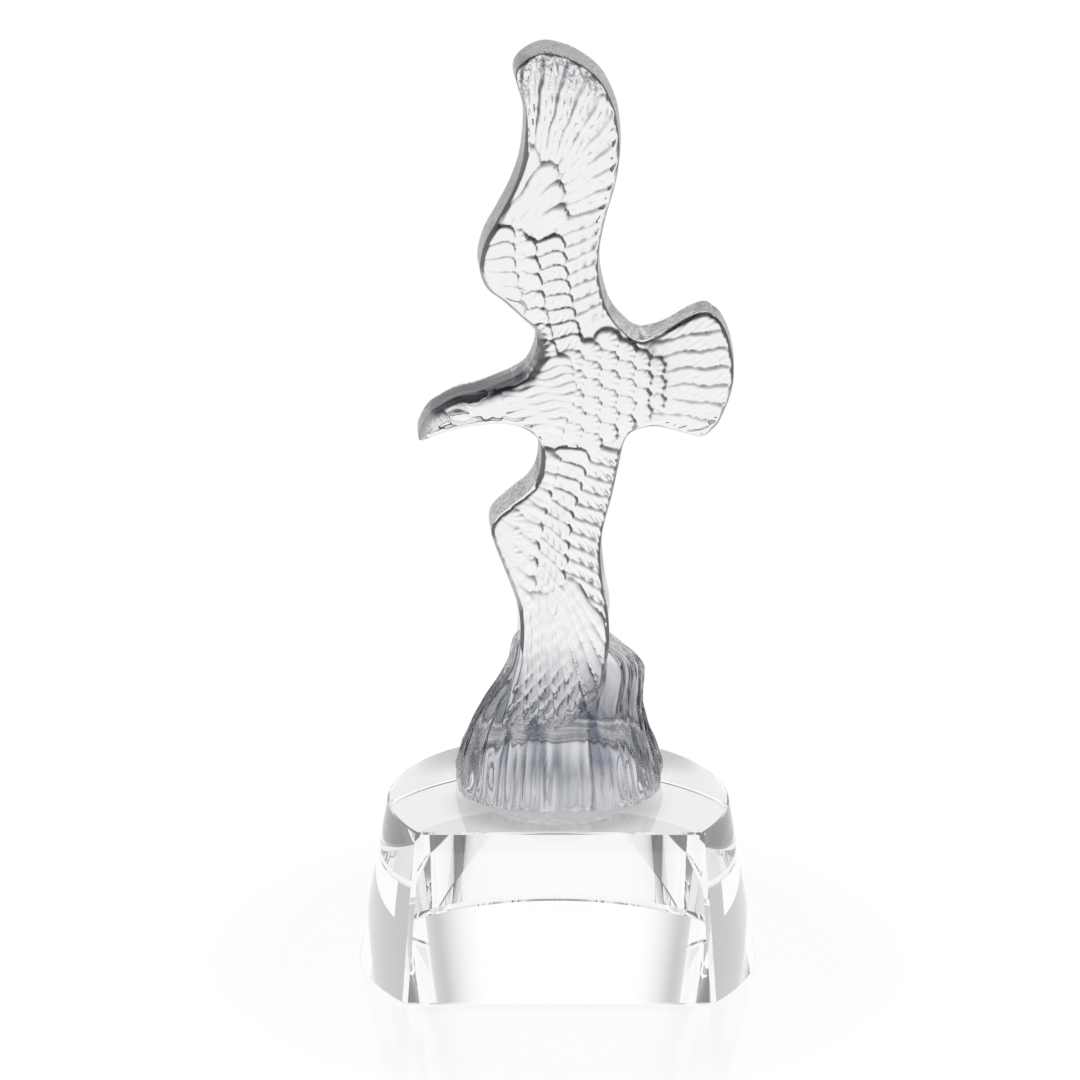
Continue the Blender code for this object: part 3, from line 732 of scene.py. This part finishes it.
def block():
    lean = (BASE_BOTTOM_RADIUS - BASE_TOP_RADIUS) / (BASE_HEIGHT - BOTTOM_CHAMFER)
    bm = turned([(BASE_TOP_RADIUS - TOP_CHAMFER, BASE_HEIGHT),
                 (BASE_TOP_RADIUS + lean * TOP_CHAMFER, BASE_HEIGHT - TOP_CHAMFER),
                 (BASE_BOTTOM_RADIUS, BOTTOM_CHAMFER),
                 (BASE_BOTTOM_RADIUS - BOTTOM_CHAMFER, 0)], BASE_SEGMENTS)
    slope = (FRONT_FACE_BOTTOM - FRONT_FACE_TOP) / (BASE_HEIGHT - BOTTOM_CHAMFER)
    face_normal = Vector((0, -1, slope)).normalized()
    grind(bm, (0, -FRONT_FACE_TOP, BASE_HEIGHT), face_normal)
    grind(bm, (0, -FRONT_FACE_TOP + TOP_CHAMFER, BASE_HEIGHT), (0, -1, 1))
    grind(bm, (0, -FRONT_FACE_BOTTOM + BOTTOM_CHAMFER, 0), (0, -1, -1))
    corner_top = math.sqrt(BASE_TOP_RADIUS ** 2 - FRONT_FACE_TOP ** 2)
    corner_bottom = math.sqrt(BASE_BOTTOM_RADIUS ** 2 - FRONT_FACE_BOTTOM ** 2)
    for side in (-1, 1):
        top = Vector((side * corner_top, -FRONT_FACE_TOP, BASE_HEIGHT))
        bottom = Vector((side * corner_bottom, -FRONT_FACE_BOTTOM, BOTTOM_CHAMFER))
        cone_normal = Vector((top.x, top.y, 0)).normalized() + Vector((0, 0, lean))
        normal = (face_normal + cone_normal.normalized()).normalized()
        along_edge = (bottom - top).normalized()
        normal = (normal - normal.dot(along_edge) * along_edge).normalized()
        grind(bm, (top + bottom) / 2 - normal * CORNER_CHAMFER / 2, normal)
    return bm


# %% [markdown]
# ## The cement joint
# The eagle is fixed to the block with a clear cement that bends light as much as the crystal does. A gap of
# air there would be a bright mirror. The rock's footprint is therefore drawn into the block's top as faces
# of their own, and those and the rock's underside get a finish that lets light straight through.
# %% Draw the footprint in the block's top
GLASS_SLOT = 0
CEMENT_SLOT = 1


def draw_footprint(bm, loop):
    """Refills the top face with triangles that follow a loop of points. Those inside it get the cement."""
    top = max((face for face in bm.faces if face.normal.z > 0.999), key=lambda face: face.calc_area())
    ring = list(top.verts)
    rim = np.array([vert.co[:2] for vert in ring])
    bm.faces.remove(top)
    points = [Vector(place) for place in np.concatenate((rim, loop))]
    sizes = (len(rim), len(loop))
    edges = [(i, (i + 1) % sizes[0]) for i in range(sizes[0])]
    edges += [(sizes[0] + i, sizes[0] + (i + 1) % sizes[1]) for i in range(sizes[1])]
    placed, _, faces, origins, _, _ = delaunay_2d_cdt(points, edges, [], 1, 1e-7)
    verts = []
    for place, olds in zip(placed, origins):
        own = min(olds) if olds else sizes[0]
        verts.append(ring[own] if own < sizes[0] else bm.verts.new((place.x, place.y, BASE_HEIGHT)))
    middle = loop.mean(axis=0)
    reach = np.hypot(*(loop - middle).T)
    bearing = np.arctan2(loop[:, 1] - middle[1], loop[:, 0] - middle[0])
    order = np.argsort(bearing)
    for face in faces:
        made = bm.faces.new([verts[i] for i in face])
        centre = made.calc_center_median()
        away = math.hypot(centre.x - middle[0], centre.y - middle[1])
        limit = np.interp(math.atan2(centre.y - middle[1], centre.x - middle[0]), bearing[order],
                          reach[order], period=2 * math.pi)
        made.material_index = CEMENT_SLOT if away < limit else GLASS_SLOT


bm = block()
draw_footprint(bm, footprint[:, :2] + np.array((0, EAGLE_Y)))
bmesh.ops.recalc_face_normals(bm, faces=bm.faces)
print("block:", len(bm.faces), "faces,", sum(not e.is_manifold for e in bm.edges), "open edges")
base_mesh = bpy.data.meshes.new("block")
bm.to_mesh(base_mesh)
bm.free()
base = bpy.data.objects.new("block", base_mesh)
bpy.context.scene.collection.objects.link(base)
hold_in_box(base, "crystal_base")

# %% [markdown]
# ## Shading
# Curved skin is shaded smooth, and real corners stay sharp. One angle separates the two on each piece: the
# carving has steep but rounded slopes, while the rims and bevels turn at once.
# %% Smooth the skin, keep the corners
def finish_shading(thing, degrees):
    thing.data.shade_smooth()
    thing.data.set_sharp_from_angle(angle=math.radians(degrees))


def mark_underside(thing, height):
    """Gives the faces that lie flat at a height the cement's slot."""
    for face in thing.data.polygons:
        flat = face.normal.z < -0.99 and abs(face.center.z - height) < 1e-5
        face.material_index = CEMENT_SLOT if flat else GLASS_SLOT


finish_shading(eagle, 50)
finish_shading(base, 20)
mark_underside(eagle, EAGLE_Z)

# %% [markdown]
# ## The crystal
# Lead crystal bends light by 1.52 and is nearly without colour. The front, the back and the rock are as
# smooth as the polished mould. The walls of the slab are not: they are satin, with a fine orange-peel skin
# where the mould's joint was stoned down, and that skin runs a little way over the tip of the wing with a
# ragged edge; the walls' speckles get a grey of painted shade. The crown of the head was polished clear
# again, and its steep rounding shows nothing but the dark of the room, which is painted into its colour as
# shade. The rock's valleys get painted shade, a dark tint for the light that is lost in the many turns it
# takes there. All of this is one shader with three masks kept in the mesh: how much a place is wall,
# painted shade on the crown of the head, or painted shade on the rock.
# Painting could do it too, but masks worked out from the form stay right when the form changes.
# %% Mask the walls
WALL_FADE = (0.12, 0.35)
WALL_REACH = 4
WALL_ENDS = (225, 255)
# Where the crown of the head gets a near-black painted shade.
CROWN_END = -25
CROWN_FADE = 12
HEAD_LEVEL = 540
HEAD_REACH = 75
CROWN_RISE = (0.5, 0.8)
CROWN_BACK = (0.0035, 0.0055)
TIP_SATIN = 15
TIP_RAGGED = 6
TIP_WAVES = ((0.21, 0), (0.47, 2))
TIP_FROM = (915, 960)
# Painted shade in the rock's valleys: heights where it fades in and out, its share on the ridges, and the
# depth in front of which it is kept.
ROCK_SHADE_HEIGHTS = (18, 50, 110, 215)
ROCK_SHADE_GROUND = 0.4
ROCK_SHADE_FRONT = -0.0098


def rock_painted_shade(local, y):
    """How much painted shade the rock gets: most in the valleys between its flutes, at middle height."""
    left, right, half_depth = rock_size(local[:, 1])
    c = np.clip((share(local[:, 0]) - (left + right) / 2) / ((right - left) / 2), -1, 1)
    s = np.clip(y / half_depth, -1, 1)
    angle = np.arctan2(*(np.sign(part) * np.abs(part) ** (ROCK_SQUARENESS / 2) for part in (s, c)))
    valley = fade(0.5 - flutes_at(local[:, 1] / ROCK_PROFILE[-1][0], angle) / FLUTE_DEPTH)
    window = fade(local[:, 1], *ROCK_SHADE_HEIGHTS[:2]) * (1 - fade(local[:, 1], *ROCK_SHADE_HEIGHTS[2:]))
    return window * (ROCK_SHADE_GROUND + (1 - ROCK_SHADE_GROUND) * valley)


def mark_walls(thing):
    """Keeps in each point how much it is wall, crown of the head with painted shade, or painted rock shade.
    """
    mesh = thing.data
    count = len(mesh.vertices)
    normals = np.empty(3 * count)
    places = np.empty(3 * count)
    mesh.vertex_normals.foreach_get("vector", normals)
    mesh.vertices.foreach_get("co", places)
    normals, places = normals.reshape(-1, 3), places.reshape(-1, 3)
    local = np.column_stack((places[:, 0], places[:, 2] - EAGLE_Z)) / share(1)
    _, inside = nearest_edge(local)
    side = 1 - fade(np.abs(normals[:, 1]), *WALL_FADE)
    near = 1 - fade(np.abs(inside) / WALL_REACH - 1)
    ragged = TIP_SATIN + TIP_RAGGED * sum(np.sin(turns * local[:, 0] + phase) for turns, phase in TIP_WAVES)
    at_tip = fade(local[:, 1], *TIP_FROM)
    skin = (1 - fade((inside - ragged * at_tip) / 2)) * at_tip
    # The crown mask: the rounded top of the head, whose colour carries painted shade.
    on_head = fade((CROWN_END - local[:, 0]) / CROWN_FADE) * (np.abs(local[:, 1] - HEAD_LEVEL) < HEAD_REACH)
    upward = fade(normals[:, 2], *CROWN_RISE)
    crown = on_head * upward * (inside < HEAD_ROUND / share(1) + 1)
    depth = places[:, 1] - EAGLE_Y
    crown = crown * (1 - fade(depth, *CROWN_BACK))
    wall = np.maximum(side * near * fade(local[:, 1], *WALL_ENDS) * (1 - crown), skin)
    # Painted shade on the rock, kept where the rock stands out of the slab's outline or in front of the
    # slab.
    rock_shade = rock_painted_shade(local, depth) * ((inside < 0.5) | (depth < ROCK_SHADE_FRONT))
    for name, value in (("wall", wall), ("crown", crown), ("rock_shade", rock_shade)):
        mask = mesh.attributes.new(name, "FLOAT", "POINT")
        mask.data.foreach_set("value", value)


mark_walls(eagle)

# %% [markdown]
# ## The glass itself
# A few small helpers keep the shaders short. Where a mask says wall, the glass is rougher, slightly bumpy
# and speckled with a darker tint, which is painted shade. On the crown of the head and in the rock's valleys
# the glass takes a dark tint of painted shade. Elsewhere it is plain.
# %% The glass
GLASS_IOR = 1.52
WALL_ROUGHNESS = 0.22
SPECKLE_SCALE = 900
SPECKLE_EDGE = (0.5, 0.56)
WALL_BUMP = 0.6
WALL_BUMP_DEPTH = 0.00015
EAGLE_TINT = (0.90, 0.905, 0.915, 1)
BLOCK_TINT = (0.976, 0.972, 0.99, 1)
# Dark tints of painted shade follow: for the wall speckles, the crown of the head and the rock's valleys.
WALL_SHADE_TINT = (0.25, 0.26, 0.29, 1)
CROWN_SHADE_TINT = (0.02, 0.02, 0.03, 1)
ROCK_SHADE_TINT = (0.08, 0.09, 0.13, 1)


class Graph:
    """The nodes of a material or a world, with short words for what is used here."""

    def __init__(self, owner):
        owner.use_nodes = True
        self.nodes, self.links = owner.node_tree.nodes, owner.node_tree.links

    def fill(self, node, values):
        """Sets or links a node's inputs."""
        for name, value in values.items():
            if isinstance(value, bpy.types.NodeSocket):
                self.links.new(value, node.inputs[name])
            else:
                node.inputs[name].default_value = value
        return node

    def add(self, kind, values=None, **settings):
        node = self.nodes.new("ShaderNode" + kind)
        for name, value in settings.items():
            setattr(node, name, value)
        return self.fill(node, values or {})

    def ramp(self, source, span, low, high):
        """A soft change from one value to another while the source crosses a span."""
        values = {"Value": source, "From Min": span[0], "From Max": span[1], "To Min": low, "To Max": high}
        return self.add("MapRange", values, interpolation_type="SMOOTHSTEP").outputs["Result"]

    def math(self, operation, first, second=0.0):
        return self.add("Math", {0: first, 1: second}, operation=operation).outputs["Value"]

    def choose(self, factor, off, on):
        """One value where the factor is 0 and another where it is 1."""
        return self.add("Mix", {0: factor, 2: off, 3: on}).outputs[0]

    def blend(self, factor, off, on):
        """One shader where the factor is 0 and another where it is 1."""
        return self.add("MixShader", {0: factor, 1: off, 2: on}).outputs["Shader"]


def crystal(name, tint):
    """Polished crystal whose walls are satin where the mesh says so."""
    material = bpy.data.materials.new(name)
    graph = Graph(material)
    wall, crown, rock_shade = (graph.add("Attribute", attribute_name=mask).outputs["Fac"]
                          for mask in ("wall", "crown", "rock_shade"))
    place_at = graph.add("TexCoord").outputs["Object"]
    speckle = graph.add("TexNoise", {"Vector": place_at, "Scale": SPECKLE_SCALE, "Detail": 2.0})
    speckle = speckle.outputs["Fac"]
    speckle_shade = graph.math("MULTIPLY", wall, graph.ramp(speckle, SPECKLE_EDGE, 0.0, 1.0))
    colour = tint
    # Base Color gets painted shade here: grey wall speckles, a near-black crown of the head, dark rock
    # valleys.
    for mask, dark in ((speckle_shade, WALL_SHADE_TINT), (crown, CROWN_SHADE_TINT), (rock_shade, ROCK_SHADE_TINT)):
        colour = graph.add("Mix", {0: mask, "A": colour, "B": dark}, data_type="RGBA").outputs["Result"]
    bump = graph.add("Bump", {"Strength": WALL_BUMP, "Distance": WALL_BUMP_DEPTH,
                              "Height": graph.math("MULTIPLY", wall, speckle)})
    shader = graph.nodes["Principled BSDF"]
    shader.inputs["Base Color"].default_value = tint
    graph.fill(shader, {"Base Color": colour, "Metallic": 0.0, "IOR": GLASS_IOR, "Transmission Weight": 1.0,
                        "Roughness": graph.math("MULTIPLY", wall, WALL_ROUGHNESS),
                        "Normal": bump.outputs["Normal"]})
    return material


def cement():
    """A joint that light passes straight through."""
    material = bpy.data.materials.new("clear_cement")
    graph = Graph(material)
    graph.fill(graph.nodes["Principled BSDF"], {"Alpha": 0.0, "Roughness": 0.0})
    return material


joint = cement()
for thing, name, tint in ((eagle, "pressed_crystal", EAGLE_TINT), (base, "cut_crystal", BLOCK_TINT)):
    thing.data.materials.clear()
    thing.data.materials.append(crystal(name, tint))
    thing.data.materials.append(joint)

# %% [markdown]
# ## Ride on the frame
# Each piece rides on the body that carries it, and the node of the imported model that it stands for is
# hidden.
# %% Ride and hide
for thing, node, slot in ((eagle, "eagle_casting", "pressed_crystal"),
                          (base, "crystal_base", "cut_crystal")):
    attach(thing, "root")
    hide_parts(node)

# %% [markdown]
# ## The light around it
# Glass shows its surroundings, so the light is most of its look. A photographer stands it before a bright
# white screen, which fills the glass with white, and keeps the room dark below, above and low at the
# sides. Each steep slope bends the view past the screen and shows as a dark line. The screen is the world's
# own light, given by direction, because then the lines don't depend on where a lamp stands. The camera
# itself sees plain white behind the piece.
# %% How bright each direction is
SCREEN = 1.05
SIDE = 0.5
LOW_SIDE = 0.15
FRONT = 0.5
TOP = 0.4
UNDER = 0.06
UNDER_FADE = (-0.78, -0.30)
TOP_FADE = (0.42, 0.62)
SIDE_FADE = (0.85, 0.985)
LOW_SIDE_FADE = (0.90, 0.992)
LOW_FADE = (-0.28, -0.10)
FRONT_FADE = (-0.5, 0.3)


def studio():
    """The world's light by direction, and plain white for the camera."""
    world = bpy.data.worlds.new("studio")
    graph = Graph(world)
    world.cycles.sampling_method = "NONE"
    bpy.context.scene.world = world
    direction = graph.add("TexCoord").outputs["Generated"]
    split = graph.add("SeparateXYZ", {"Vector": direction})
    level = graph.add("VectorMath", {0: direction, 1: (1, 1, 0)}, operation="MULTIPLY").outputs["Vector"]
    reach = graph.add("VectorMath", {0: level}, operation="LENGTH").outputs["Value"]
    bearing = graph.math("DIVIDE", split.outputs["Y"], reach)
    low = graph.ramp(split.outputs["Z"], LOW_FADE, 0.0, 1.0)
    side = graph.choose(low, graph.ramp(bearing, LOW_SIDE_FADE, LOW_SIDE, 1.0),
                        graph.ramp(bearing, SIDE_FADE, SIDE, 1.0))
    strength = graph.math("MULTIPLY", side, graph.ramp(bearing, FRONT_FADE, FRONT, 1.0))
    for span, ends in ((UNDER_FADE, (UNDER, SCREEN)), (TOP_FADE, (1.0, TOP))):
        strength = graph.math("MULTIPLY", strength, graph.ramp(split.outputs["Z"], span, *ends))
    seen = graph.add("LightPath").outputs["Is Camera Ray"]
    graph.fill(graph.nodes["Background"], {"Color": (1, 1, 1, 1),
                                           "Strength": graph.choose(seen, strength, 1.0)})


studio()

# %% [markdown]
# ## The floor and the hoop
# The floor is white gloss, and its gloss fades round the block. Only the camera sees it, so it doesn't
# fill the glass with white from below. What the block shows is the patch right under it, which glows softly
# with the rock's shadow in it. A low hoop of light, unseen by the camera and cut down at the back, lights
# the round sides of the block, which would be black otherwise, and leaves the eagle's lines dark.
# %% The floor and the hoop
FLOOR_REACH = 4.0
FLOOR_DROP = 0.0002
GLOSS_FADE = (0.09, 0.125)
PATCH_GLOW = 0.86
SHADOW_AT = (0, 0.036)
SHADOW_REACH = (0.036, 0.026)
SHADOW_GLOW = 0.5
SHADOW_FADE = (0.4, 1.3)
FLOOR_ROUGHNESS = 0.08
FLOOR_IOR = 1.45
RING_GLOW = 1.0
RING_RADIUS = 0.13
RING_TOP = 0.05
RING_BOTTOM = -0.085
RING_BACK_TOP = 0.01
RING_BACK_REACH = 0.05


def glowing(name):
    """A material without the usual shader, for what only gives light."""
    material = bpy.data.materials.new(name)
    graph = Graph(material)
    material.cycles.emission_sampling = "NONE"
    graph.nodes.remove(graph.nodes["Principled BSDF"])
    return material, graph


def floor_finish():
    """White gloss for the camera, a soft glow under the block, and clear for all other light."""
    material, graph = glowing("white_gloss")
    place_at = graph.add("NewGeometry").outputs["Position"]
    reach = graph.add("VectorMath", {0: place_at}, operation="LENGTH").outputs["Value"]
    gloss = graph.add("BsdfGlossy", {"Roughness": FLOOR_ROUGHNESS}).outputs["BSDF"]
    mirror = graph.math("MULTIPLY", graph.ramp(reach, GLOSS_FADE, 1.0, 0.0),
                        graph.add("Fresnel", {"IOR": FLOOR_IOR}).outputs["Fac"])
    sheen = graph.blend(mirror, graph.add("Emission").outputs["Emission"], gloss)
    split = graph.add("SeparateXYZ", {"Vector": place_at})
    spread = []
    for axis, middle, extent in zip("XY", SHADOW_AT, SHADOW_REACH):
        away = graph.math("DIVIDE", graph.math("SUBTRACT", split.outputs[axis], middle), extent)
        spread.append(graph.math("POWER", graph.math("ABSOLUTE", away), 2.0))
    glow = graph.ramp(graph.math("ADD", *spread), SHADOW_FADE, SHADOW_GLOW, PATCH_GLOW)
    patch = graph.math("LESS_THAN", reach, BASE_BOTTOM_RADIUS)
    unseen = graph.blend(patch, graph.add("BsdfTransparent").outputs["BSDF"],
                         graph.add("Emission", {"Strength": glow}).outputs["Emission"])
    seen = graph.blend(graph.add("LightPath").outputs["Is Camera Ray"], unseen, sheen)
    graph.fill(graph.nodes["Material Output"], {"Surface": seen})
    return material


def stage_object(name, bm, material):
    mesh = bpy.data.meshes.new(name)
    bm.to_mesh(mesh)
    bm.free()
    mesh.materials.append(material)
    thing = bpy.data.objects.new(name, mesh)
    bpy.context.scene.collection.objects.link(thing)
    return thing


def lay_floor():
    bm = bmesh.new()
    bmesh.ops.create_grid(bm, x_segments=1, y_segments=1, size=FLOOR_REACH)
    floor = stage_object("floor", bm, floor_finish())
    floor.location.z = -FLOOR_DROP
    return floor


def light_ring():
    """A low hoop of light round the foot of the block, which the camera itself doesn't see."""
    material, graph = glowing("ring_light")
    glow = graph.add("Emission", {"Strength": RING_GLOW}).outputs["Emission"]
    graph.fill(graph.nodes["Material Output"], {"Surface": glow})
    bm = bmesh.new()
    bmesh.ops.create_circle(bm, segments=96, radius=RING_RADIUS)
    raised = bmesh.ops.extrude_edge_only(bm, edges=list(bm.edges))
    for part in raised["geom"]:
        if isinstance(part, bmesh.types.BMVert):
            at_back = part.co.y > 0 and abs(part.co.x) < RING_BACK_REACH
            part.co.z = (RING_BACK_TOP if at_back else RING_TOP) - RING_BOTTOM
    ring = stage_object("light_ring", bm, material)
    ring.location.z = RING_BOTTOM
    ring.visible_camera = False
    return ring


floor = lay_floor()
ring = light_ring()

# %% [markdown]
# ## The camera
# The picture is taken from a little above with a long lens, so the upright lines hardly converge. The
# small shift puts the piece where it stands in the picture, a touch right of the middle.
# %% The camera
CAMERA_AT = (-0.0244, -1.377, 0.6061)
CAMERA_DIP = math.radians(18.52)
CAMERA_LENS = 150
CAMERA_SHIFT = 56 / 1080


def take_camera():
    camera = bpy.data.cameras.new("camera")
    camera.lens = CAMERA_LENS
    camera.sensor_width = 36
    camera.shift_x = CAMERA_SHIFT
    camera.clip_end = 20
    holder = bpy.data.objects.new("camera", camera)
    holder.location = CAMERA_AT
    holder.rotation_euler = (math.pi / 2 - CAMERA_DIP, 0, 0)
    bpy.context.scene.collection.objects.link(holder)
    bpy.context.scene.camera = holder


take_camera()

# %% [markdown]
# ## How the picture is developed
# Light in solid glass bounces many times, and each path that is cut short turns black. The number of
# bounces is therefore set high. The Standard view keeps the white floor at full white.
# %% Light bounces and view
def develop():
    scene = bpy.context.scene
    scene.view_settings.view_transform = "Standard"
    scene.view_settings.look = "None"
    scene.cycles.max_bounces = 40
    scene.cycles.transmission_bounces = 40
    scene.cycles.glossy_bounces = 24
    scene.cycles.transparent_max_bounces = 24
    scene.cycles.diffuse_bounces = 2
    scene.cycles.use_denoising = True


develop()
